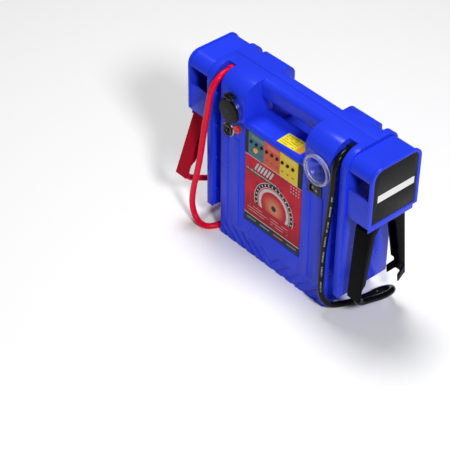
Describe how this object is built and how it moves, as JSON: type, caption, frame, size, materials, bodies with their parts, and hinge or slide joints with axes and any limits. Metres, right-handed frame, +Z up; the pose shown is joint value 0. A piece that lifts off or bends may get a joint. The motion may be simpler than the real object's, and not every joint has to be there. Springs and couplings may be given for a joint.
{
  "type": "jump starter pack",
  "caption": "Portable jump starter: blue moulded case with carry handle, red face label, lamp, covered 12 V socket and two clamp leads parked in end holsters.",
  "frame": {"origin": "on the floor under the middle of the case", "axes": "+X to the right along the case, +Y to the back, +Z up"},
  "size_m": [0.418, 0.1455, 0.324],
  "materials": {
    "blue_plastic": "finely textured moulded plastic",
    "badge_black": "smooth inlaid panel",
    "mark_white": "printed mark",
    "label_red": "printed film label",
    "sticker_yellow": "plain sticker",
    "indicator": "light pipes",
    "board_green": "circuit board",
    "button_orange": "moulded button",
    "bright_metal": "plated",
    "grey_plastic": "moulded",
    "brass": "plain",
    "black_rubber": "moulded rubber",
    "black_plastic": "moulded",
    "red_plastic": "moulded button",
    "clear_lens": "clear moulded lens",
    "reflector": "metallised",
    "bulb_glass": "small bulb",
    "battery_case": "battery case",
    "lead_metal": "plated terminals",
    "strap_steel": "bent strip",
    "cable_red": "cable jacket",
    "cable_black": "cable jacket",
    "screw_steel": "dark screws",
    "clamp_red": "dipped coating on sheet steel",
    "clamp_black": "dipped coating on sheet steel",
    "copper": "copper-plated jaw",
    "spring_steel": "spring wire"
  },
  "bodies": {
    "case": {"front_shell": "blue_plastic", "rear_shell": "blue_plastic", "left_holster": "blue_plastic", "right_holster": "blue_plastic", "left_badge": "badge_black", "right_badge": "badge_black", "plus_mark": "mark_white", "minus_mark": "mark_white", "face_label": "label_red", "shelf_sticker": "sticker_yellow", "indicator_windows": "indicator", "indicator_board": "board_green", "socket_barrel": "bright_metal", "socket_nut": "grey_plastic", "socket_contact": "brass", "cap_hinge_block": "black_plastic", "cap_hinge_pin": "bright_metal", "charge_jack": "black_plastic", "charge_jack_ring": "bright_metal", "breaker_body": "grey_plastic", "lamp_lens": "clear_lens", "lamp_reflector": "reflector", "lamp_bulb": "bulb_glass", "switch_frame": "black_plastic", "battery": "battery_case", "battery_terminals": "lead_metal", "battery_strap": "strap_steel", "red_inner_lead": "cable_red", "black_inner_lead": "cable_black", "case_screws": "screw_steel", "holster_screws": "screw_steel", "red_gland": "cable_red", "black_gland": "black_rubber", "red_cable": "cable_red", "black_cable": "cable_black", "red_front_lever": "clamp_red", "red_front_jaw": "copper", "red_pivot_pin": "bright_metal", "red_spring": "spring_steel", "black_front_lever": "clamp_black", "black_front_jaw": "copper", "black_pivot_pin": "bright_metal", "black_spring": "spring_steel"},
    "cap": {"socket_cap": "black_rubber"},
    "rocker": {"switch_rocker": "black_plastic"},
    "breaker": {"breaker_button": "red_plastic"},
    "test": {"test_button": "button_orange"},
    "red_clamp_rear": {"red_rear_lever": "clamp_red", "red_rear_jaw": "copper"},
    "black_clamp_rear": {"black_rear_lever": "clamp_black", "black_rear_jaw": "copper"}
  },
  "joints": [
    {"name": "socket_cap_hinge", "type": "hinge", "parent": "case", "child": "cap", "pos_m": [-0.098, -0.0614, 0.2965], "axis": [-1, 0, 0], "range_deg": [0, 110]},
    {"name": "switch_rocker_tilt", "type": "hinge", "parent": "case", "child": "rocker", "pos_m": [0.0955, -0.0505, 0.225], "axis": [0, 0, 1], "range_deg": [0, 16]},
    {"name": "breaker_push", "type": "slide", "parent": "case", "child": "breaker", "axis": [0, 1, 0], "range_m": [0, 0.002], "stiffness_N_per_m": 400, "springref_m": -0.002},
    {"name": "test_push", "type": "slide", "parent": "case", "child": "test", "axis": [0, 1, 0], "range_m": [0, 0.0008], "stiffness_N_per_m": 400, "springref_m": -0.002},
    {"name": "red_clamp_open", "type": "hinge", "parent": "case", "child": "red_clamp_rear", "pos_m": [-0.19, 0.01, 0.239], "axis": [-1, 0, 0], "range_deg": [0, 15], "stiffness_Nm_per_rad": 1.5, "springref_deg": -28.65, "deforming": ["red_spring"]},
    {"name": "black_clamp_open", "type": "hinge", "parent": "case", "child": "black_clamp_rear", "pos_m": [0.19, -0.004, 0.223], "axis": [-1, 0, 0], "range_deg": [0, 15], "stiffness_Nm_per_rad": 1.5, "springref_deg": -28.65, "deforming": ["black_spring"]}
  ]
}
